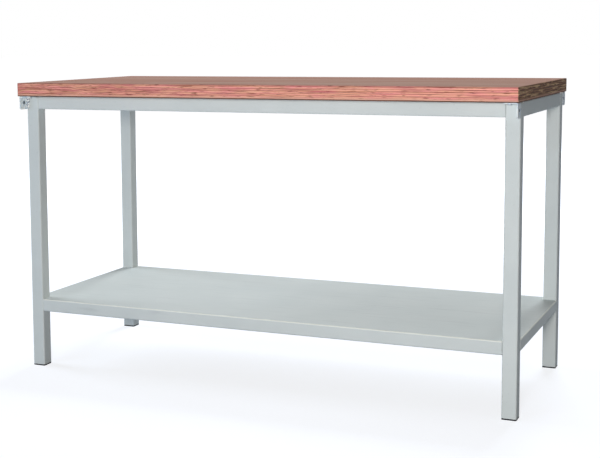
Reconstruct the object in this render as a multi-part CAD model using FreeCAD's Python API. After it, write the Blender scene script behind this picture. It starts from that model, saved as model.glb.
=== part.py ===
import FreeCAD, Part
import math
import os

# Free-standing workbench: a multiplex worktop on a painted steel frame with a sheet-steel shelf.
# Millimetres, +Z up, +X to the right along the bench, front towards -Y.
# The origin is on the floor, under the middle of the worktop.

# Worktop board
top_length = 1500.0
top_depth = 700.0
top_thickness = 40.0
bench_height = 875.0
top_chamfer = 1.5

# Square-tube legs, set back from the edges of the worktop
leg_side = 40.0
leg_wall = 2.0
leg_corner = 4.0
leg_setback = 46.0
leg_end_setback = 3.0
leg_top_gap = 1.0

# Plastic foot caps with a ribbed plug
cap_height = 4.0
cap_plug_height = 22.0
cap_wall = 2.0
cap_core_gap = 1.8
cap_rib_count = 2
cap_rib_thickness = 1.6

# Angle brackets on the front and rear faces of the legs, under the overhanging worktop
bracket_length = 40.0
bracket_height = 40.0
bracket_flange = 36.0
bracket_sheet = 2.5
bracket_bend = 1.5
bracket_corner = 8.0
bracket_hole = 9.0
bracket_screw_inset = 25.0

# Rails between the legs on all four sides, web outward
rail_height = 40.0
rail_flange = 30.0
rail_sheet = 2.0
rail_bend = 1.5
rail_recess = 1.0
rail_plate = 4.0

# Shelf tray, folded down on all sides
shelf_height = 210.0
shelf_sheet = 1.5
shelf_bend = 3.0
shelf_apron = 38.0
shelf_end_apron = 34.0
shelf_lip = 12.0
shelf_tab = 32.0
shelf_bolt_drop = 18.0

# Hat-section stiffeners under the shelf
stiffener_spacing = 500.0
stiffener_height = 20.0
stiffener_width = 40.0
stiffener_foot = 18.0
stiffener_sheet = 1.5
stiffener_bend = 1.5

# Hexagon bolts in hexagonal rivet nuts
bolt_diameter = 8.0
bolt_head_width = 13.0
bolt_head_height = 5.3
bolt_length = 16.0
nut_width = 11.0
nut_collar_width = 14.0
nut_collar_height = 3.0
nut_length = 12.0

# Hexagon wood screws under the worktop
screw_diameter = 6.0
screw_head_width = 10.0
screw_head_height = 4.0
screw_length = 30.0

# Clearances: round pieces in their holes, sheet edges beside the legs
hole_clearance = 0.3
joint_gap = 0.5

# Places worked out from the sizes above, given for the rear right corner
top_bottom = bench_height - top_thickness
leg_outer_x = top_length / 2 - leg_end_setback
leg_inner_x = leg_outer_x - leg_side
leg_middle_x = leg_outer_x - leg_side / 2
leg_outer_y = top_depth / 2 - leg_setback
leg_inner_y = leg_outer_y - leg_side
leg_middle_y = leg_outer_y - leg_side / 2
leg_top = top_bottom - bracket_sheet - leg_top_gap
leg_bore = leg_side - 2 * leg_wall
leg_inner_corner = max(leg_corner - leg_wall, joint_gap)
bracket_end = leg_outer_y + bracket_length
bracket_middle_y = leg_outer_y + bracket_length / 2
rail_face = leg_outer_y - rail_recess
rail_end = leg_inner_x - joint_gap
rail_middle_y = rail_face - rail_flange / 2
rail_middle_z = top_bottom - rail_height / 2
shelf_round = shelf_bend + shelf_sheet
rail_bolt_point = FreeCAD.Vector(leg_inner_x, rail_middle_y, rail_middle_z)
shelf_bolt_point = FreeCAD.Vector(leg_inner_x, leg_middle_y, shelf_height - shelf_bolt_drop)
screw_point = FreeCAD.Vector(leg_outer_x - bracket_screw_inset, bracket_middle_y, top_bottom - bracket_sheet)
bolt_hole = bolt_diameter / 2 + hole_clearance
screw_hole = screw_diameter / 2 + hole_clearance

X_AXIS = FreeCAD.Vector(1, 0, 0)
Y_AXIS = FreeCAD.Vector(0, 1, 0)
Z_AXIS = FreeCAD.Vector(0, 0, 1)
ORIGIN = FreeCAD.Vector(0, 0, 0)
CORNERS = (
    ("front_left", -1, -1),
    ("front_right", 1, -1),
    ("rear_left", -1, 1),
    ("rear_right", 1, 1),
)


def block(x_range, y_range, z_range):
    """Plain block between two values along each axis."""
    corner = FreeCAD.Vector(x_range[0], y_range[0], z_range[0])
    sizes = [high - low for low, high in (x_range, y_range, z_range)]
    return Part.makeBox(*sizes, corner)


def post(side, z_range):
    """Square post round a leg's centre line."""
    x_range = (leg_middle_x - side / 2, leg_middle_x + side / 2)
    y_range = (leg_middle_y - side / 2, leg_middle_y + side / 2)
    return block(x_range, y_range, z_range)


def uprights(shape):
    """Edges of a post that run along Z."""
    return [edge for edge in shape.Edges if edge.BoundBox.ZLength > edge.BoundBox.DiagonalLength / 2]


def rounded_post(side, corner_radius, z_range):
    """Square post with rounded upright edges."""
    square = post(side, z_range)
    return square.makeFillet(corner_radius, uprights(square))


def rod(radius, point, axis, length):
    """Round rod from a point along an axis."""
    return Part.makeCylinder(radius, length, point, axis)


def hexagon(width, height, bottom=0):
    """Upright hexagon of a given width across its flats."""
    reach = width / math.sqrt(3)
    angles = [math.radians(60 * step) for step in range(7)]
    points = [FreeCAD.Vector(reach * math.cos(a), reach * math.sin(a), bottom) for a in angles]
    return Part.Face(Part.makePolygon(points)).extrude(Z_AXIS * height)


def in_corner(shape, side_x, side_y):
    """Copy of a rear right piece, mirrored into another corner."""
    if side_x < 0:
        shape = shape.mirror(ORIGIN, X_AXIS)
    if side_y < 0:
        shape = shape.mirror(ORIGIN, Y_AXIS)
    return shape


def in_all_corners(piece):
    """Group of separate solids: a rear right piece repeated in every corner."""
    return Part.makeCompound([in_corner(piece, *sides) for _, *sides in CORNERS])


def on_axis(shape, point, axis):
    """Copy of a piece built along +Z, laid along another axis at a point."""
    moved = shape.copy()
    moved.Placement = FreeCAD.Placement(point, FreeCAD.Rotation(Z_AXIS, axis))
    return moved


def rounded_line(points, radii):
    """Edges through the points, with an arc of the given radius at each inner point."""
    edges = []
    start = points[0]
    for before, corner, after, radius in zip(points, points[1:], points[2:], radii):
        arriving = (corner - before).normalize()
        leaving = (after - corner).normalize()
        half_turn = arriving.getAngle(leaving) / 2
        reach = radius * math.tan(half_turn)
        depth = radius / math.cos(half_turn) - radius
        first = corner - arriving * reach
        middle = corner + (leaving - arriving).normalize() * depth
        last = corner + leaving * reach
        edges.append(Part.makeLine(start, first))
        edges.append(Part.Arc(first, middle, last).toShape())
        start = last
    edges.append(Part.makeLine(start, points[-1]))
    return edges


def folded_sheet(path, sheet, bend, along, start, end):
    """Folded strip whose section follows path, with its thickness on the left of the path.

    Path points are (y, z) for a strip along X and (x, z) for a strip along Y.
    Bend is the inside radius of each fold.
    """
    if along == X_AXIS:
        line = [FreeCAD.Vector(start, across, up) for across, up in path]
        left_of = -X_AXIS
    else:
        line = [FreeCAD.Vector(across, start, up) for across, up in path]
        left_of = Y_AXIS
    headings = [(after - before).normalize() for before, after in zip(line, line[1:])]
    lefts = [heading.cross(left_of) for heading in headings]
    offset = [line[0] + lefts[0] * sheet]
    line_radii = []
    offset_radii = []
    for corner, left_in, left_out, leaving in zip(line[1:], lefts, lefts[1:], headings[1:]):
        offset.append(corner + (left_in + left_out) * (sheet / (1 + left_in.dot(left_out))))
        turns_left = left_in.dot(leaving) > 0
        line_radii.append(bend + sheet if turns_left else bend)
        offset_radii.append(bend if turns_left else bend + sheet)
    offset.append(line[-1] + lefts[-1] * sheet)
    edges = rounded_line(line, line_radii)
    edges.append(Part.makeLine(line[-1], offset[-1]))
    edges += rounded_line(offset[::-1], offset_radii[::-1])
    edges.append(Part.makeLine(offset[0], line[0]))
    return Part.Face(Part.Wire(edges)).extrude(along * (end - start))


def worktop_screw():
    """Hexagon screw with its head under a bracket's flange and its shank in the worktop."""
    screw = hexagon(screw_head_width, screw_head_height, -screw_head_height)
    screw = screw.fuse(rod(screw_diameter / 2, ORIGIN, Z_AXIS, screw_length))
    return on_axis(screw, screw_point, Z_AXIS)


def screw_holes():
    """Clearance holes from under the flanges up to the ends of the screws."""
    return in_all_corners(rod(screw_hole, screw_point, Z_AXIS, screw_length + hole_clearance))


# Worktop: one board with chamfered edges and blind screw holes from below
def worktop():
    x_range = (-top_length / 2, top_length / 2)
    y_range = (-top_depth / 2, top_depth / 2)
    board = block(x_range, y_range, (top_bottom, bench_height))
    board = board.makeChamfer(top_chamfer, board.Edges)
    return board.cut(screw_holes())


# Bolt with its head on the clamped piece, laid from a point on the leg's face into the leg
def bolt(point, clamped):
    piece = hexagon(bolt_head_width, bolt_head_height, -bolt_head_height)
    piece = piece.fuse(rod(bolt_diameter / 2, ORIGIN, Z_AXIS, bolt_length))
    return on_axis(piece, point - X_AXIS * clamped, X_AXIS)


# Rivet nut: hexagonal body through the leg's wall, with a collar pressed out behind the wall
def rivet_nut(point):
    nut = hexagon(nut_width, nut_length)
    nut = nut.fuse(hexagon(nut_collar_width, nut_collar_height, leg_wall))
    nut = nut.cut(rod(bolt_hole, ORIGIN, Z_AXIS, nut_length))
    return on_axis(nut, point, X_AXIS)


# Leg: square tube from the foot cap to just below the brackets' upper flanges
def leg():
    z_range = (cap_height, leg_top)
    tube = rounded_post(leg_side, leg_corner, z_range)
    bore = post(leg_bore, z_range)
    tube = tube.cut(bore.makeChamfer(leg_inner_corner, uprights(bore)))
    nut_hole = hexagon(nut_width + 2 * hole_clearance, leg_wall)
    holes = [on_axis(nut_hole, point, X_AXIS) for point in (rail_bolt_point, shelf_bolt_point)]
    return tube.cut(Part.makeCompound(holes))


# Foot cap: flat foot as wide as the leg, and a hollow plug whose ribs press on the tube
def foot_cap():
    foot = rounded_post(leg_side, leg_corner, (0, cap_height))
    plug_range = (cap_height, cap_height + cap_plug_height)
    core_side = leg_bore - 2 * cap_core_gap
    plug = post(core_side, plug_range)
    rib_pitch = cap_plug_height / cap_rib_count
    for step in range(cap_rib_count):
        rib_bottom = cap_height + (step + 0.5) * rib_pitch
        rib = post(leg_bore - 2 * hole_clearance, (rib_bottom, rib_bottom + cap_rib_thickness))
        plug = plug.fuse(rib.makeChamfer(leg_inner_corner, uprights(rib)))
    plug = plug.cut(post(core_side - 2 * cap_wall, plug_range))
    return foot.fuse(plug).removeSplitter()


# Angle bracket: welded to a leg, with its upper flange screwed to the overhanging worktop
def worktop_bracket():
    bottom = top_bottom - bracket_height
    middle_z = top_bottom - bracket_height / 2
    path = [(leg_outer_x, bottom), (leg_outer_x, top_bottom), (leg_outer_x - bracket_flange, top_bottom)]
    bracket = folded_sheet(path, bracket_sheet, bracket_bend, Y_AXIS, leg_outer_y, bracket_end)
    free_corner = [edge for edge in bracket.Edges
                   if edge.BoundBox.YMin > bracket_middle_y and edge.BoundBox.ZMax < middle_z]
    bracket = bracket.makeFillet(bracket_corner, free_corner)
    hole_middle = FreeCAD.Vector(leg_outer_x, bracket_middle_y, middle_z)
    bracket = bracket.cut(rod(bracket_hole / 2, hole_middle, -X_AXIS, bracket_sheet))
    return bracket.cut(screw_holes())


# Rail: channel open towards the middle of the bench, with its upper flange under the worktop
def rail(face, along, end):
    bottom = top_bottom - rail_height
    lip = face - rail_flange
    path = [(lip, bottom), (face, bottom), (face, top_bottom), (lip, top_bottom)]
    return folded_sheet(path, rail_sheet, rail_bend, along, -end, end)


# Side rail: welded between the front and rear legs of one end
def side_rail():
    return rail(leg_outer_x - rail_recess, Y_AXIS, leg_inner_y)


# Long rail: held between the left and right legs by the bolted end plates
def long_rail():
    return rail(rail_face, X_AXIS, rail_end)


# End plate: welded into the open end of a long rail and bolted to the leg
def rail_end_plate():
    x_range = (leg_inner_x - rail_plate, leg_inner_x)
    y_range = (rail_face - rail_flange, rail_face - rail_sheet)
    z_range = (top_bottom - rail_height + rail_sheet, top_bottom - rail_sheet)
    plate = block(x_range, y_range, z_range)
    fold_edges = [edge for edge in plate.Edges
                  if edge.BoundBox.XLength > rail_plate / 2 and edge.BoundBox.YMin > rail_middle_y]
    plate = plate.makeChamfer(rail_bend, fold_edges)
    return plate.cut(rod(bolt_hole, rail_bolt_point, -X_AXIS, rail_plate))


# Shelf: one sheet with hemmed aprons between the legs and a bolted tab against each leg
def shelf_tray():
    flat_z = (shelf_height - shelf_sheet, shelf_height)
    end_x = leg_outer_x - shelf_round
    long_y = leg_outer_y - shelf_round
    notch_x = leg_inner_x - shelf_round
    notch_y = leg_inner_y - joint_gap
    tray = block((-end_x, end_x), (-notch_y, notch_y), flat_z)
    tray = tray.fuse(block((-notch_x, notch_x), (-long_y, long_y), flat_z))
    apron_z = shelf_height - shelf_apron
    apron = [(leg_outer_y - shelf_lip, apron_z), (leg_outer_y, apron_z),
             (leg_outer_y, shelf_height), (long_y - shelf_sheet, shelf_height)]
    apron_end = leg_inner_x - joint_gap
    rear = folded_sheet(apron, shelf_sheet, shelf_bend, X_AXIS, -apron_end, apron_end)
    end_z = shelf_height - shelf_end_apron
    end_apron = [(leg_outer_x - shelf_lip, end_z), (leg_outer_x, end_z),
                 (leg_outer_x, shelf_height), (end_x - shelf_sheet, shelf_height)]
    right = folded_sheet(end_apron, shelf_sheet, shelf_bend, Y_AXIS, -notch_y, notch_y)
    tab_path = [(leg_inner_x, shelf_height - shelf_tab), (leg_inner_x, shelf_height),
                (notch_x - shelf_sheet, shelf_height)]
    tab = folded_sheet(tab_path, shelf_sheet, shelf_bend, Y_AXIS, leg_inner_y + shelf_round, long_y)
    folds = [rear, in_corner(rear, 1, -1), right, in_corner(right, -1, 1), *in_all_corners(tab).Solids]
    tray = tray.multiFuse(folds).removeSplitter()
    return tray.cut(in_all_corners(rod(bolt_hole, shelf_bolt_point, -X_AXIS, shelf_sheet)))


# Stiffener: hat section welded under the shelf from front to rear
def shelf_stiffener():
    seat = shelf_height - shelf_sheet
    floor = seat - stiffener_height
    middle = stiffener_spacing / 2
    near = middle - stiffener_width / 2
    far = middle + stiffener_width / 2
    path = [(far + stiffener_foot, seat), (far, seat), (far, floor),
            (near, floor), (near, seat), (near - stiffener_foot, seat)]
    reach = leg_outer_y - shelf_round
    return folded_sheet(path, stiffener_sheet, stiffener_bend, Y_AXIS, -reach, reach)


nodes = {
    "worktop": worktop(),
    "worktop_screws": in_all_corners(worktop_screw()),
    "shelf_tray": shelf_tray(),
    "rail_bolts": in_all_corners(bolt(rail_bolt_point, rail_plate)),
    "rail_rivet_nuts": in_all_corners(rivet_nut(rail_bolt_point)),
    "shelf_bolts": in_all_corners(bolt(shelf_bolt_point, shelf_sheet)),
    "shelf_rivet_nuts": in_all_corners(rivet_nut(shelf_bolt_point)),
}
for corner_piece in (leg, foot_cap, rail_end_plate, worktop_bracket):
    shape = corner_piece()
    for corner_name, side_x, side_y in CORNERS:
        nodes[f"{corner_piece.__name__}_{corner_name}"] = in_corner(shape, side_x, side_y)
for end_piece in (side_rail, shelf_stiffener):
    shape = end_piece()
    for end_name, side_x in (("left", -1), ("right", 1)):
        nodes[f"{end_piece.__name__}_{end_name}"] = in_corner(shape, side_x, 1)
shape = long_rail()
for rail_name, side_y in (("front", -1), ("rear", 1)):
    nodes[f"long_rail_{rail_name}"] = in_corner(shape, 1, side_y)

os.makedirs("parts", exist_ok=True)
for node_name, shape in nodes.items():
    shape.exportStep(f"parts/{node_name}.step")
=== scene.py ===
import bpy
import bmesh
import math
import random
from mathutils import Matrix, Vector


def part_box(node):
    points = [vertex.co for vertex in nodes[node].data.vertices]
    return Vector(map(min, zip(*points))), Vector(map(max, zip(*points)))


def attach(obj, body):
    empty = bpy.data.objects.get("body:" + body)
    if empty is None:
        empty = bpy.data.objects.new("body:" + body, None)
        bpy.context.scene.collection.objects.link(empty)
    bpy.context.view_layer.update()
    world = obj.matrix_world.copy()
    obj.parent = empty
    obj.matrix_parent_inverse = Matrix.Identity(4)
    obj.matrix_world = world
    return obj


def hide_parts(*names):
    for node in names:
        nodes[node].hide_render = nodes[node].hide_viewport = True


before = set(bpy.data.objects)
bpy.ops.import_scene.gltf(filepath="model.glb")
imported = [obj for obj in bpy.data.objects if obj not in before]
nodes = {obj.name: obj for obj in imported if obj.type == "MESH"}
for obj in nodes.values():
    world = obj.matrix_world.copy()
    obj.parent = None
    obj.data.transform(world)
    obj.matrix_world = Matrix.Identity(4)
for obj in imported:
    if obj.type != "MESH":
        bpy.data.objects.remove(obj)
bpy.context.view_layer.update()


# Foot caps: moulded black polyethylene plugs, pushed into the open lower ends of the legs.
# The mould gives a fine satin grain, and the sides are scuffed a little paler from being pushed about.
corners = ("front_left", "front_right", "rear_left", "rear_right")


def linear(code):
    """Linear colour with full opacity from an sRGB hex code."""
    parts = [int(code[at:at + 2], 16) / 255 for at in (0, 2, 4)]
    return (*[part / 12.92 if part <= 0.04045 else ((part + 0.055) / 1.055) ** 2.4 for part in parts], 1.0)


def every(millimetres):
    """Scale of a pattern whose spots or streaks come about every so many millimetres."""
    return 1000.0 / millimetres


def add(tree, kind, inputs=(), **settings):
    """Adds a node with its settings; an input is a value, a socket, or a node whose first output is used."""
    made = tree.nodes.new(kind)
    for name, value in settings.items():
        setattr(made, name, value)
    for key, value in dict(inputs).items():
        socket = next(found for found in made.inputs if key in (found.identifier, found.name))
        if isinstance(value, bpy.types.Node):
            value = next(found for found in value.outputs if found.enabled)
        if isinstance(value, bpy.types.NodeSocket):
            tree.links.new(value, socket)
        else:
            socket.default_value = value
    return made


def streaks(tree, place, sizes, settings):
    """Noise drawn out into streaks; the sizes are their millimetres along X, Y and Z."""
    scale = [every(size) for size in sizes]
    stretched = add(tree, "ShaderNodeMapping", {"Vector": place, "Scale": scale})
    return add(tree, "ShaderNodeTexNoise", {"Vector": stretched, "Scale": 1.0, **settings})


def blend(tree, share, first, second):
    """Mixes two colours, each a hex code or a node, by the share of the second."""
    ends = [linear(colour) if isinstance(colour, str) else colour for colour in (first, second)]
    return add(tree, "ShaderNodeMix", {"Factor_Float": share, "A_Color": ends[0], "B_Color": ends[1]},
               data_type="RGBA")


def new_material(name):
    """Empty node material with its output node; returns the material, its tree and the surface input."""
    made = bpy.data.materials.new(name)
    made.use_nodes = True
    made.node_tree.nodes.clear()
    output = add(made.node_tree, "ShaderNodeOutputMaterial")
    return made, made.node_tree, output.inputs["Surface"]


def dress(names, surface):
    """Gives CAD nodes their surface."""
    for name in names:
        nodes[name].data.materials.clear()
        nodes[name].data.materials.append(surface)


# Satin black plastic: the grain breaks up the highlight, and flat scuffs 8 mm long lie along the sides.
# A mould's grain is about 0.2 mm wide; it is drawn 1.4 mm wide, or it would not show.
black_plastic, tree, surface = new_material("black_polyethylene_moulded_grain")
place = add(tree, "ShaderNodeTexCoord").outputs["Object"]
grain = add(tree, "ShaderNodeTexNoise", {"Vector": place, "Scale": every(1.4286), "Detail": 3.0})
scuff = streaks(tree, place, (8.333, 8.333, 1.3889), {"Detail": 5.0})
worn = add(tree, "ShaderNodeMapRange", {"Value": scuff, "From Min": 0.58, "From Max": 0.75, "To Max": 0.5})
colour = blend(tree, worn, "0c0c14", "30303a")
rough = add(tree, "ShaderNodeMapRange", {"Value": grain, "To Min": 0.45, "To Max": 0.7})
bump = add(tree, "ShaderNodeBump", {"Height": grain, "Strength": 0.4, "Distance": 0.0004})
skin = add(tree, "ShaderNodeBsdfPrincipled", {"Base Color": colour, "IOR": 1.51, "Specular IOR Level": 0.25,
                                              "Roughness": rough, "Normal": bump})
tree.links.new(skin.outputs["BSDF"], surface)
dress([f"foot_cap_{corner}" for corner in corners], black_plastic)


# Legs and rails: square steel tube and folded sheet. Legs and side rails are welded into end frames, and end
# plates into the long rails, which are bolted on. All are powder-coated light grey before that, so that one
# unbroken skin covers tube, folds and welds.

# Powder coat: an orange-peel skin with a soft sheen, in clouds of about 110 mm that are a little thicker and
# paler, with specks of dust some 6 mm apart. Real orange peel is about 1 mm wide; it is drawn 2.4 mm wide.
grey_paint, tree, surface = new_material("light_grey_powder_coat_orange_peel")
place = add(tree, "ShaderNodeTexCoord").outputs["Object"]
cloud = add(tree, "ShaderNodeTexNoise", {"Vector": place, "Scale": every(111.1), "Detail": 4.0})
peel = add(tree, "ShaderNodeTexNoise", {"Vector": place, "Scale": every(2.381), "Detail": 2.0})
speck = add(tree, "ShaderNodeTexNoise", {"Vector": place, "Scale": every(6.25), "Detail": 6.0})
dust = add(tree, "ShaderNodeMapRange", {"Value": speck, "From Min": 0.66, "From Max": 0.78, "To Max": 0.35})
coat = blend(tree, cloud, "c3cccb", "d1d8d6")
coat = blend(tree, dust, coat, "a9aeb0")
rough = add(tree, "ShaderNodeMapRange", {"Value": cloud, "To Min": 0.6, "To Max": 0.75})
bump = add(tree, "ShaderNodeBump", {"Height": peel, "Strength": 0.25, "Distance": 0.0003})
skin = add(tree, "ShaderNodeBsdfPrincipled", {"Base Color": coat, "IOR": 1.5, "Specular IOR Level": 0.2,
                                              "Roughness": rough, "Normal": bump})
tree.links.new(skin.outputs["BSDF"], surface)
dress([f"{piece}_{corner}" for piece in ("leg", "rail_end_plate") for corner in corners], grey_paint)
dress(["side_rail_left", "side_rail_right", "long_rail_front", "long_rail_rear"], grey_paint)


# Brackets: short angles folded from steel sheet and welded to the legs' front and rear faces, to carry
# the board where it overhangs. They are coated together with the legs.
bracket_sheet = 0.0025

# Bracket coat: the same grey powder coat, painted paler than on the legs as painted light, so the brackets
# look brighter than leg sides facing the same way, with bluish patches of painted shade about 9 mm wide and
# the same orange peel.
bracket_paint_painted_light, tree, surface = new_material("light_grey_powder_coat_painted_paler")
place = add(tree, "ShaderNodeTexCoord").outputs["Object"]
bracket_patch = add(tree, "ShaderNodeTexNoise", {"Vector": place, "Scale": every(9.091), "Detail": 2.0})
painted_bluish_shade = add(tree, "ShaderNodeMapRange", {"Value": bracket_patch, "From Min": 0.4, "From Max": 0.6})
coat = blend(tree, painted_bluish_shade, "f2f7f3", "cddde8")
peel = add(tree, "ShaderNodeTexNoise", {"Vector": place, "Scale": every(2.381), "Detail": 2.0})
rough = add(tree, "ShaderNodeMapRange", {"Value": bracket_patch, "To Min": 0.55, "To Max": 0.7})
bump = add(tree, "ShaderNodeBump", {"Height": peel, "Strength": 0.25, "Distance": 0.0003})
skin = add(tree, "ShaderNodeBsdfPrincipled", {"Base Color": coat, "IOR": 1.5, "Specular IOR Level": 0.2,
                                              "Roughness": rough, "Normal": bump})
tree.links.new(skin.outputs["BSDF"], surface)
dress([f"worktop_bracket_{corner}" for corner in corners], bracket_paint_painted_light)


# Weld beads: arc-welded by hand before coating, where brackets and side rails meet the legs.
# Each is a row of overlapping molten drops, so it is lumpy, and the grey coat covers it.
# Swell, sway, valley and blunt end are shares of the bead's radius.
bracket_bead_radius, rail_bead_radius = 0.0055, 0.003
bracket_bead_inset, rail_bead_inset = 0.002, 0.0035
bracket_bead_below_top, rail_bead_below_top = 0.003, 0.006
bead_above_bottom, bead_off_leg = 0.004, 0.0005
ring_spacing, rings_per_drop = 0.0007, 4
least_swell, most_swell, most_sway = 0.7, 1.2, 0.12
valley, blunt_end = 0.72, 0.35
weld_drops = random.Random(11)

# Coated weld: near-white painted highlights on the crowns of the drops and dark bluish painted shade in the
# pits, laid by noise.
# Drops of 3 mm would blur away, so the light and dark spots are drawn about 6 mm wide.
weld_paint, tree, surface = new_material("light_grey_powder_coat_over_weld_painted_highlights")
place = add(tree, "ShaderNodeTexCoord").outputs["Object"]
lump = add(tree, "ShaderNodeTexNoise", {"Vector": place, "Scale": every(6.25), "Detail": 2.0})
weld_painted_light_and_shade = add(tree, "ShaderNodeMapRange", {"Value": lump, "From Min": 0.42, "From Max": 0.56})
coat = blend(tree, weld_painted_light_and_shade, "7f8da2", "f3f6f4")
rough = add(tree, "ShaderNodeMapRange", {"Value": weld_painted_light_and_shade, "To Min": 0.7, "To Max": 0.5})
bump = add(tree, "ShaderNodeBump", {"Height": lump, "Strength": 0.4, "Distance": 0.001})
skin = add(tree, "ShaderNodeBsdfPrincipled", {"Base Color": coat, "IOR": 1.5, "Specular IOR Level": 0.2,
                                              "Roughness": rough, "Normal": bump})
tree.links.new(skin.outputs["BSDF"], surface)


def weld_bead(name, start, end, radius):
    """Lumpy coated bead between two points; each drop has its own size and lies a little off the line."""
    start, end = Vector(start), Vector(end)
    rings = max(8, int((end - start).length / ring_spacing))
    across = (end - start).orthogonal().normalized()
    beside = (end - start).cross(across).normalized()
    verts, faces, sides = [], [], 12
    for ring in range(rings + 1):
        if ring % rings_per_drop == 0:
            swell = weld_drops.uniform(least_swell, most_swell)
            sway = across * weld_drops.uniform(-most_sway, most_sway) * radius
            sway += beside * weld_drops.uniform(-most_sway, most_sway) * radius
        drop = valley + (1.0 - valley) * abs(math.sin(math.pi * ring / rings_per_drop))
        taper = min(1.0, blunt_end + ring / rings_per_drop, blunt_end + (rings - ring) / rings_per_drop)
        middle = start.lerp(end, ring / rings) + sway
        reach = radius * swell * drop * taper
        for side in range(sides):
            turn = 2 * math.pi * side / sides
            verts.append(middle + (across * math.cos(turn) + beside * math.sin(turn)) * reach)
    for near in range(0, rings * sides, sides):
        for side in range(sides):
            after = (side + 1) % sides
            faces.append((near + side, near + after, near + sides + after, near + sides + side))
    faces.append(tuple(reversed(range(sides))))
    faces.append(tuple(range(rings * sides, (rings + 1) * sides)))
    mesh = bpy.data.meshes.new(name)
    mesh.from_pydata(verts, [], faces)
    mesh.polygons.foreach_set("use_smooth", [True] * len(faces))
    mesh.materials.append(weld_paint)
    bead = bpy.data.objects.new(name, mesh)
    bpy.context.collection.objects.link(bead)
    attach(bead, "root")


for corner in corners:
    side_x = 1 if "right" in corner else -1
    side_y = 1 if "rear" in corner else -1
    leg_low, leg_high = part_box(f"leg_{corner}")
    outer_x = max(abs(leg_low.x), abs(leg_high.x))
    inner_y, outer_y = sorted((abs(leg_low.y), abs(leg_high.y)))
    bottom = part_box(f"worktop_bracket_{corner}")[0].z + bead_above_bottom
    top = leg_high.z - bracket_bead_below_top
    bead_x = side_x * (outer_x - bracket_sheet - bracket_bead_inset)
    bead_y = side_y * (outer_y + bead_off_leg)
    weld_bead(f"bracket_weld_{corner}", (bead_x, bead_y, bottom), (bead_x, bead_y, top), bracket_bead_radius)
    top = leg_high.z - rail_bead_below_top
    bead_x = side_x * (outer_x - rail_bead_inset)
    bead_y = side_y * (inner_y - bead_off_leg)
    weld_bead(f"side_rail_weld_{corner}", (bead_x, bead_y, bottom), (bead_x, bead_y, top), rail_bead_radius)


# Hole plugs: small moulded polyethylene plugs, pushed from inside into the spare hole of each bracket.
# A low dome with a thin rim covers the hole, and a short stem behind it grips the sheet.
# The profile gives radius and height above the sheet, from the dome's top by the rim to the stem's end.
plug_profile = ((0.0, 0.0018), (0.002, 0.0017), (0.0035, 0.0014), (0.0045, 0.001), (0.005, 0.0005),
                (0.005, 0.0), (0.0043, 0.0), (0.0042, -0.0027), (0.0, -0.0027))

# Dusty black plastic: as the foot caps, but under a film of grey dust that hides most of the black.
# The dust lies in patches of about 3 mm.
dusty_plastic, tree, surface = new_material("black_polyethylene_dusty")
place = add(tree, "ShaderNodeTexCoord").outputs["Object"]
settled = add(tree, "ShaderNodeTexNoise", {"Vector": place, "Scale": every(3.333), "Detail": 4.0})
film = add(tree, "ShaderNodeMapRange", {"Value": settled, "From Min": 0.35, "From Max": 0.65})
colour = blend(tree, film, "3c444b", "76828a")
skin = add(tree, "ShaderNodeBsdfPrincipled", {"Base Color": colour, "IOR": 1.51, "Specular IOR Level": 0.25,
                                              "Roughness": 0.8})
tree.links.new(skin.outputs["BSDF"], surface)

for corner in corners:
    side_x = 1 if "right" in corner else -1
    bracket_low, bracket_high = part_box(f"worktop_bracket_{corner}")
    hole = (bracket_low + bracket_high) / 2
    hole.x = side_x * (max(abs(bracket_low.x), abs(bracket_high.x)) - bracket_sheet)
    bm = bmesh.new()
    outline = [bm.verts.new(hole + Vector((-side_x * rise, 0.0, out))) for out, rise in plug_profile]
    edges = [bm.edges.new(pair) for pair in zip(outline, outline[1:])]
    bmesh.ops.spin(bm, geom=outline + edges, cent=hole, axis=(1.0, 0.0, 0.0), angle=2 * math.pi, steps=36,
                   use_merge=True)
    bmesh.ops.remove_doubles(bm, verts=bm.verts, dist=1e-6)
    bmesh.ops.recalc_face_normals(bm, faces=bm.faces)
    mesh = bpy.data.meshes.new(f"hole_plug_{corner}")
    bm.to_mesh(mesh)
    bm.free()
    mesh.materials.append(dusty_plastic)
    plug = bpy.data.objects.new(f"hole_plug_{corner}", mesh)
    bpy.context.collection.objects.link(plug)
    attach(plug, "root")


# Bolts, rivet nuts and screws: cold-headed steel, bright zinc-plated, with a faint blue passivation.
# Bolts join rails and shelf to rivet nuts in the legs, and screws hold the board from below.
bolt_head_width, bolt_head_height, bolt_shank, bolt_length = 0.013, 0.0053, 0.008, 0.016
screw_head_width, screw_head_height, screw_shank, screw_length = 0.010, 0.004, 0.006, 0.030
washer_face = 0.0004
chamfer_slope = math.tan(math.radians(30))

# Zinc: crystals make the metal's brightness vary, and the blue film tints it cold.
# Real crystals are far below a millimetre; they are drawn 1.7 mm wide, so that they show.
zinc, tree, surface = new_material("bright_zinc_plated_steel")
place = add(tree, "ShaderNodeTexCoord").outputs["Object"]
crystal = add(tree, "ShaderNodeTexVoronoi", {"Vector": place, "Scale": every(1.6667)})
tone = blend(tree, crystal, "d9dde3", "b4bac4")
rough = add(tree, "ShaderNodeMapRange", {"Value": crystal, "To Min": 0.25, "To Max": 0.42})
skin = add(tree, "ShaderNodeBsdfPrincipled", {"Base Color": tone, "Metallic": 1.0, "Roughness": rough})
tree.links.new(skin.outputs["BSDF"], surface)
dress(["rail_rivet_nuts", "shelf_rivet_nuts"], zinc)


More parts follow.
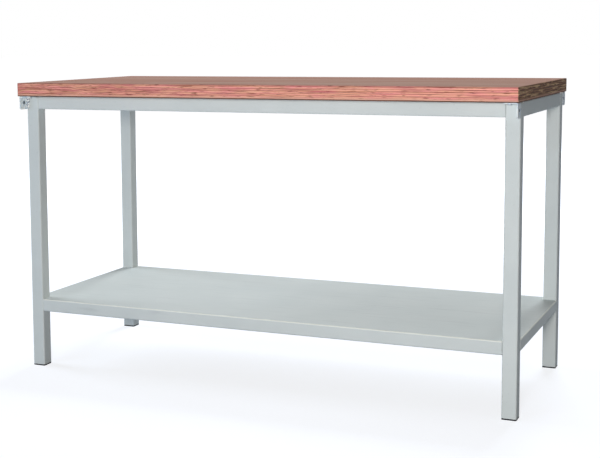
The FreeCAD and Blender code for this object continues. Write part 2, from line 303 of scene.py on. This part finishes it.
def hexagon_fastener(bm, seat, axis, width, height, shank, length):
    """Bolt or screw with a chamfered hexagon head on a seat, and its shank beyond the seat along the axis."""
    across = axis.orthogonal().normalized()
    beside = axis.cross(across)
    points, collar, weld_painted_light_and_shade = 48, 0.47 * width, 0.475 * width

    def ring(reach, lift):
        """Ring of points; without a radius it follows the hexagon, and without a level the chamfer."""
        made = []
        for point in range(points):
            turn = 2 * math.pi * point / points
            flat = (turn + math.pi / 6) % (math.pi / 3) - math.pi / 6
            corner_reach = width / 2 / math.cos(flat)
            out = corner_reach if reach is None else reach
            level = (corner_reach - weld_painted_light_and_shade) * chamfer_slope - height if lift is None else lift
            spoke = across * math.cos(turn) + beside * math.sin(turn)
            made.append(bm.verts.new(seat + spoke * out + axis * level))
        return made

    rings = [ring(collar, 0.0), ring(collar, -washer_face), ring(None, -washer_face), ring(None, None),
             ring(weld_painted_light_and_shade, -height)]
    for lower, upper in zip(rings, rings[1:]):
        for point in range(points):
            after = (point + 1) % points
            bm.faces.new((lower[point], lower[after], upper[after], upper[point]))
    bm.faces.new(rings[-1])
    stem = [ring(shank / 2, 0.0), ring(shank / 2, length)]
    for point in range(points):
        after = (point + 1) % points
        bm.faces.new((stem[0][after], stem[0][point], stem[1][point], stem[1][after]))
    bm.faces.new(list(reversed(stem[1])))


# The four of a kind mirror each other, and their seats follow from the box of the CAD node. There the flats
# of the heads bound the box in Y. The bolts' shanks end at its outermost X. The screws' heads begin at its
# lowest Z and have a corner at its outermost X.
for name, upright, width, height, shank, length in (
        ("rail_bolts", False, bolt_head_width, bolt_head_height, bolt_shank, bolt_length),
        ("shelf_bolts", False, bolt_head_width, bolt_head_height, bolt_shank, bolt_length),
        ("worktop_screws", True, screw_head_width, screw_head_height, screw_shank, screw_length)):
    low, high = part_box(name)
    seat_x = high.x - width / math.sqrt(3) if upright else high.x - length
    seat_y = high.y - width / 2
    seat_z = low.z + height if upright else (low.z + high.z) / 2
    bm = bmesh.new()
    for side_x in (-1, 1):
        for side_y in (-1, 1):
            seat = Vector((side_x * seat_x, side_y * seat_y, seat_z))
            axis = Vector((0, 0, 1)) if upright else Vector((side_x, 0, 0))
            hexagon_fastener(bm, seat, axis, width, height, shank, length)
    bmesh.ops.recalc_face_normals(bm, faces=bm.faces)
    mesh = bpy.data.meshes.new(f"zinc_{name}")
    bm.to_mesh(mesh)
    bm.free()
    mesh.materials.append(zinc)
    fastener = bpy.data.objects.new(f"zinc_{name}", mesh)
    bpy.context.collection.objects.link(fastener)
    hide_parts(name)
    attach(fastener, "root")


# Shelf: one steel sheet folded down on all four sides, notched round the legs and bolted to them, with
# two hat-section stiffeners spot-welded below. It has the same coat as the legs, rubbed by use.

# Rubbed powder coat: as the legs, in clouds of about 170 mm, with faint drag marks along the shelf, 170 mm
# long and 6 mm wide. The pattern is stretched first, so its rotation only picks other marks.
shelf_paint, tree, surface = new_material("light_grey_powder_coat_rubbed_painted_highlight")
coordinates = add(tree, "ShaderNodeTexCoord")
place = coordinates.outputs["Object"]
cloud = add(tree, "ShaderNodeTexNoise", {"Vector": place, "Scale": every(166.7), "Detail": 5.0})
peel = add(tree, "ShaderNodeTexNoise", {"Vector": place, "Scale": every(2.381), "Detail": 2.0})
drag = add(tree, "ShaderNodeMapping", {"Vector": place, "Rotation": (0.0, 0.0, 1.2),
                                       "Scale": (every(166.7), every(5.556), every(25))})
mark = add(tree, "ShaderNodeTexNoise", {"Vector": drag, "Scale": 1.0, "Detail": 4.0})
rubbed = add(tree, "ShaderNodeMapRange", {"Value": mark, "From Min": 0.6, "From Max": 0.72, "To Max": 0.3})
coat = blend(tree, cloud, "c3cccb", "d1d8d6")
coat = blend(tree, rubbed, coat, "aab0b1")

# Painted highlight: a thin bright line follows the rounded upper edges of the folds, where the surface tilts
# upwards.
way = add(tree, "ShaderNodeSeparateXYZ", {"Vector": coordinates.outputs["Normal"]})
rising = add(tree, "ShaderNodeMapRange", {"Value": way.outputs["Z"], "From Min": 0.15, "From Max": 0.45})
level = add(tree, "ShaderNodeMapRange", {"Value": way.outputs["Z"], "From Min": 0.9, "From Max": 0.98,
                                         "To Min": 0.85, "To Max": 0.0})
fold_painted_highlight = add(tree, "ShaderNodeMath", {"Value": rising, "Value_001": level}, operation="MULTIPLY")
coat = blend(tree, fold_painted_highlight, coat, "eef2ea")
rough = add(tree, "ShaderNodeMapRange", {"Value": mark, "To Min": 0.5, "To Max": 0.65})
bump = add(tree, "ShaderNodeBump", {"Height": peel, "Strength": 0.25, "Distance": 0.0003})
skin = add(tree, "ShaderNodeBsdfPrincipled", {"Base Color": coat, "IOR": 1.5, "Specular IOR Level": 0.2,
                                              "Roughness": rough, "Normal": bump})
tree.links.new(skin.outputs["BSDF"], surface)
dress(["shelf_tray", "shelf_stiffener_left", "shelf_stiffener_right"], shelf_paint)


# Worktop: a thick board glued up from thin peeled beech veneers laid crosswise, sanded and oiled,
# with its layers left bare on all four edges. It is screwed down through the brackets from below.
low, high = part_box("worktop")
ply = 0.0031
most_wander, knot_border_sway = 0.012, 0.8
hue_share = 0.42
pale_veneer, pale_veneer_end = 0.0062, 0.0072
# Heights from the bottom and from the top where the painted shade lines at the arrises fade out.
shade_line_below, shade_line_below_end = 0.0026, 0.0038
shade_line_above, shade_line_above_end = 0.002, 0.003

# Beech multiplex: long-grained face above and below; on the edges, layers cut along and across the grain
# take turns. The real layers are about 1.5 mm; they are drawn 3 mm thick, or they would blur away.
beech, tree, surface = new_material("beech_multiplex_oiled")
coordinates = add(tree, "ShaderNodeTexCoord")
place = coordinates.outputs["Object"]
way = add(tree, "ShaderNodeSeparateXYZ", {"Vector": coordinates.outputs["Normal"]})
spot = add(tree, "ShaderNodeSeparateXYZ", {"Vector": place})
vertical = add(tree, "ShaderNodeMath", {"Value": way.outputs["Z"]}, operation="ABSOLUTE")
on_face = add(tree, "ShaderNodeMapRange", {"Value": vertical, "From Min": 0.75, "From Max": 0.95})
sideways = add(tree, "ShaderNodeMath", {"Value": way.outputs["X"]}, operation="ABSOLUTE")
on_end = add(tree, "ShaderNodeMath", {"Value": sideways, "Value_001": 0.6}, operation="GREATER_THAN")

# The veneers wander up and down in waves of about 40 mm, most near the left end, where they were peeled by
# a knot. Slow changes, about 400 mm long, make the border of that end uneven.
wander = add(tree, "ShaderNodeTexNoise", {"Vector": place, "Scale": every(38.46), "Detail": 3.0})
calm = add(tree, "ShaderNodeTexNoise", {"Vector": place, "Scale": every(400), "Detail": 0.0})
drift = add(tree, "ShaderNodeMath", {"Value": calm, "Value_001": knot_border_sway,
                                     "Value_002": spot.outputs["X"]}, operation="MULTIPLY_ADD")
wild = add(tree, "ShaderNodeMapRange", {"Value": drift, "From Min": -0.35, "From Max": 0.5, "To Min": 1.0,
                                        "To Max": 0.15})
stir = add(tree, "ShaderNodeMath", {"Value": wild, "Value_001": most_wander}, operation="MULTIPLY")
lift = add(tree, "ShaderNodeMath", {"Value": wander, "Value_001": stir, "Value_002": spot.outputs["Z"]},
           operation="MULTIPLY_ADD")
depth = add(tree, "ShaderNodeMath", {"Value": lift, "Value_001": ply}, operation="DIVIDE")
layer = add(tree, "ShaderNodeMath", {"Value": depth}, operation="FLOOR")
turn = add(tree, "ShaderNodeMath", {"Value": layer, "Value_001": on_end}, operation="ADD")
crosswise = add(tree, "ShaderNodeMath", {"Value": turn, "Value_001": 2.0}, operation="FLOORED_MODULO")
chance = add(tree, "ShaderNodeTexWhiteNoise", {"W": layer}, noise_dimensions="1D")

# Just under half of the glue lines between the layers show, as thin dark lines.
within = add(tree, "ShaderNodeMath", {"Value": depth}, operation="FRACT")
seam = add(tree, "ShaderNodeMapRange", {"Value": within, "From Min": 0.12, "From Max": 0.3, "To Min": 0.75,
                                        "To Max": 0.0})
glued = add(tree, "ShaderNodeMath", {"Value": chance, "Value_001": 0.55}, operation="GREATER_THAN")
glue = add(tree, "ShaderNodeMath", {"Value": seam, "Value_001": glued}, operation="MULTIPLY")

# Fibres run along each layer; dark streaks 125 mm long and dashes 30 mm long show where pores and glue were
# cut open. Real ones are a few tenths of a millimetre high; they are drawn 2 to 3 mm high, so that they show.
flow = add(tree, "ShaderNodeCombineXYZ", {"X": spot.outputs["X"], "Y": spot.outputs["Y"], "Z": lift})
fibre = streaks(tree, flow, (125, 125, 2.381), {"Detail": 5.0})
dash = streaks(tree, flow, (29.41, 29.41, 3.0303), {"Detail": 3.0})
streaked = add(tree, "ShaderNodeMapRange", {"Value": fibre, "From Min": 0.53, "From Max": 0.67,
                                            "To Max": 0.75})
dashed = add(tree, "ShaderNodeMapRange", {"Value": dash, "From Min": 0.55, "From Max": 0.68, "To Max": 0.8})
dark = add(tree, "ShaderNodeMath", {"Value": streaked, "Value_001": dashed}, operation="MAXIMUM")
dark = add(tree, "ShaderNodeMath", {"Value": dark, "Value_001": glue}, operation="MAXIMUM")
along = blend(tree, fibre, "fcc3b4", "f0aa9c")
across = blend(tree, chance, "bd7668", "db9586")
edge = blend(tree, crosswise, along, across)

# Brown heartwood lies in the wandering layers, in patches 110 mm long and 9 mm high, and the whole edge
# shifts between yellowish and reddish in patches 77 mm long and 5 mm high.
patch = streaks(tree, flow, (111.1, 111.1, 9.091), {"Detail": 2.0})
heart = add(tree, "ShaderNodeMapRange", {"Value": patch, "From Min": 0.4, "From Max": 0.64, "To Max": 0.95})
heart = add(tree, "ShaderNodeMath", {"Value": heart, "Value_001": wild}, operation="MULTIPLY")
edge = blend(tree, heart, edge, "a8745a")
tint = streaks(tree, flow, (76.92, 76.92, 5.263), {"Detail": 2.0})
spread = add(tree, "ShaderNodeMapRange", {"Value": tint, "From Min": 0.4, "From Max": 0.6})
hue = blend(tree, spread, "efb18c", "e68289")
edge = blend(tree, hue_share, edge, hue)
edge = blend(tree, dark, edge, "733f2f")

# The faces show one wide peeled veneer: pale and reddish bands along X about 60 mm wide, dark grain lines
# in them about 7 mm apart, and ray flecks 22 mm long, drawn 3 mm wide so that they show.
band = streaks(tree, place, (1250, 62.5, 1000), {"Detail": 7.0, "Roughness": 0.65, "Distortion": 0.5})
band = add(tree, "ShaderNodeMapRange", {"Value": band, "From Min": 0.36, "From Max": 0.64})
line = streaks(tree, place, (400, 6.667, 1000), {"Detail": 4.0})
lined = add(tree, "ShaderNodeMapRange", {"Value": line, "From Min": 0.5, "From Max": 0.68, "To Max": 0.4})
fleck = streaks(tree, place, (22.22, 3.125, 1000), {"Detail": 3.0})
flecked = add(tree, "ShaderNodeMapRange", {"Value": fleck, "From Min": 0.58, "From Max": 0.7, "To Max": 0.35})
face = blend(tree, band, "ad8172", "b99c8e")
face = blend(tree, lined, face, "946b5a")
face = blend(tree, flecked, face, "8a6350")

# The two ends are sawn across the face grain: end grain that the oil turns brown, painted darker still as
# painted shade on these side faces, with pale torn fibres 90 mm long, drawn 5 mm high so that they show.
rip = streaks(tree, flow, (90.91, 90.91, 5.263), {"Detail": 3.0})
torn = add(tree, "ShaderNodeMapRange", {"Value": rip, "From Min": 0.53, "From Max": 0.6, "To Max": 0.95})
sawn_end_with_painted_shade = blend(tree, crosswise, "604535", "9c785e")
sawn_end_with_painted_shade = blend(tree, torn, sawn_end_with_painted_shade, "d8b78e")
sawn_end_with_painted_shade = blend(tree, dark, sawn_end_with_painted_shade, "301d14")
edge = blend(tree, on_end, edge, sawn_end_with_painted_shade)

# Painted shade: a dark line along both arrises of the edges and ends, strong at the lower one and faint at
# the upper, with a whole pale veneer over the lower line.
pale = add(tree, "ShaderNodeMapRange", {"Value": spot.outputs["Z"], "From Min": low.z + pale_veneer,
                                        "From Max": low.z + pale_veneer_end, "To Min": 0.5, "To Max": 0.0})
edge = blend(tree, pale, edge, "ecc0a8")
below = add(tree, "ShaderNodeMapRange", {"Value": spot.outputs["Z"], "From Min": low.z + shade_line_below,
                                         "From Max": low.z + shade_line_below_end, "To Min": 0.9, "To Max": 0.0})
above = add(tree, "ShaderNodeMapRange", {"Value": spot.outputs["Z"], "From Min": high.z - shade_line_above_end,
                                         "From Max": high.z - shade_line_above, "To Max": 0.35})
arris = add(tree, "ShaderNodeMath", {"Value": below, "Value_001": above}, operation="MAXIMUM")
edge = blend(tree, arris, edge, "4c342a")

wood = blend(tree, on_face, edge, face)
rough = add(tree, "ShaderNodeMapRange", {"Value": fleck, "To Min": 0.7, "To Max": 0.9})
bump = add(tree, "ShaderNodeBump", {"Height": dash, "Strength": 0.3, "Distance": 0.0004})
skin = add(tree, "ShaderNodeBsdfPrincipled", {"Base Color": wood, "IOR": 1.45, "Specular IOR Level": 0.12,
                                              "Roughness": rough, "Normal": bump})
tree.links.new(skin.outputs["BSDF"], surface)
dress(["worktop"], beech)


# Floor: a plain pale studio floor of painted board that runs out past the picture and takes the soft shadow.
# Its paint is a cool grey, which throws little light up at the bench, and a glow that only the camera and
# reflections see makes it white.
floor_half_width, floor_front, floor_back = 40, -20, 60
floor_corners = [(-floor_half_width, floor_front, 0), (floor_half_width, floor_front, 0),
                 (floor_half_width, floor_back, 0), (-floor_half_width, floor_back, 0)]
floor_mesh = bpy.data.meshes.new("studio_floor")
floor_mesh.from_pydata(floor_corners, [], [(0, 1, 2, 3)])
floor = bpy.data.objects.new("studio_floor", floor_mesh)
bpy.context.collection.objects.link(floor)


def seen_directly(tree):
    """One for what the camera sees, itself or by reflection or through glass, and nought for other light."""
    ray = add(tree, "ShaderNodeLightPath")
    seen = add(tree, "ShaderNodeMath", {"Value": ray.outputs["Is Camera Ray"],
                                        "Value_001": ray.outputs["Is Glossy Ray"]}, operation="MAXIMUM")
    return add(tree, "ShaderNodeMath", {"Value": seen, "Value_001": ray.outputs["Is Transmission Ray"]},
               operation="MAXIMUM")


# Matt studio paint: no highlight, with a faint mottle of 330 mm from the roller. The glow is weaker within a
# metre of the bench, so that its shadow shows, and full from three metres out.
studio_paint, tree, surface = new_material("pale_studio_paint_matt")
place = add(tree, "ShaderNodeTexCoord").outputs["Object"]
mottle = add(tree, "ShaderNodeTexNoise", {"Vector": place, "Scale": every(333.3), "Detail": 3.0})
tone = blend(tree, mottle, "8b93a0", "9199a6")
reach = add(tree, "ShaderNodeVectorMath", {"Vector": place}, operation="LENGTH").outputs["Value"]
away = add(tree, "ShaderNodeMapRange", {"Value": reach, "From Min": 1.0, "From Max": 3.0, "To Min": 0.79,
                                        "To Max": 1.0}, interpolation_type="SMOOTHSTEP")
glow = add(tree, "ShaderNodeMath", {"Value": seen_directly(tree), "Value_001": away}, operation="MULTIPLY")
skin = add(tree, "ShaderNodeBsdfPrincipled", {"Base Color": tone, "Roughness": 1.0, "Specular IOR Level": 0.0,
                                              "Emission Color": linear("ffffff"), "Emission Strength": glow})
tree.links.new(skin.outputs["BSDF"], surface)
floor_mesh.materials.append(studio_paint)


# Light: a soft lamp beside the camera gives the shape, a cool one at the front left evens the front, and two
# wide ones at the left and behind light the board and the shelf. The surround gives a little light from all
# sides, and the camera and reflections see it as white.
def lamp(name, place, aim, size, power, tint):
    """Square soft lamp at a place, facing a point."""
    data = bpy.data.lights.new(name, "AREA")
    data.size = size
    data.energy = power
    data.color = linear(tint)[:3]
    made = bpy.data.objects.new(name, data)
    made.location = place
    made.rotation_euler = (Vector(aim) - Vector(place)).to_track_quat("-Z", "Y").to_euler()
    made.visible_glossy = False
    bpy.context.collection.objects.link(made)


lamp("camera_softbox", place=(1.3, -4.0, 1.1), aim=(0.0, 0.0, 0.5), size=0.7, power=110.0, tint="fff8f3")
lamp("front_left_softbox", place=(-3.0, -5.5, 1.4), aim=(0.0, 0.0, 0.5), size=2.0, power=75.0, tint="d2e6ff")
lamp("left_softbox", place=(-8.0, 0.5, 4.6), aim=(0.0, 0.0, 0.3), size=4.0, power=400.0, tint="f4f9ff")
lamp("rear_softbox", place=(0.0, 7.5, 4.6), aim=(0.0, 0.0, 0.3), size=3.5, power=750.0, tint="fafcff")

world = bpy.data.worlds.new("studio_surround")
bpy.context.scene.world = world
world.use_nodes = True
tree = world.node_tree
tree.nodes.clear()
strength = add(tree, "ShaderNodeMapRange", {"Value": seen_directly(tree), "To Min": 0.06, "To Max": 1.0})
glow = add(tree, "ShaderNodeBackground", {"Color": linear("ffffff"), "Strength": strength})
add(tree, "ShaderNodeOutputWorld", {"Surface": glow})


# Camera: stands to the right in front of the bench, a little above the board, and looks slightly down.
# It was placed by fitting the corners of board, legs and shelf. Sizes in pixels are those of a picture
# 600 wide, and the picture's optical centre lies left of and above its middle.
focal_pixels, picture_width, picture_height = 1247.601, 600, 458
centre_x, centre_y = 233.0, 170.0
camera_place = (1.39440, -3.49889, 1.00263)
yaw, pitch, roll = math.radians(24.4870), math.radians(6.0188), math.radians(-0.5057)
forward = Vector((-math.sin(yaw) * math.cos(pitch), math.cos(yaw) * math.cos(pitch), -math.sin(pitch)))
right = Vector((math.cos(yaw), math.sin(yaw), 0.0))
up = right.cross(forward)
right, up = (math.cos(roll) * right + math.sin(roll) * up, math.cos(roll) * up - math.sin(roll) * right)
camera_data = bpy.data.cameras.new("photo_camera")
camera_data.sensor_fit = "HORIZONTAL"
camera_data.sensor_width = 36.0
camera_data.lens = focal_pixels / picture_width * camera_data.sensor_width
camera_data.shift_x = (picture_width / 2 - centre_x) / picture_width
camera_data.shift_y = (centre_y - picture_height / 2) / picture_width
camera_data.clip_end = 200.0
camera = bpy.data.objects.new("photo_camera", camera_data)
facing = Matrix((right, up, -forward)).transposed().to_4x4()
camera.matrix_world = Matrix.Translation(camera_place) @ facing
bpy.context.collection.objects.link(camera)
bpy.context.scene.camera = camera
bpy.context.scene.view_settings.view_transform = "Standard"
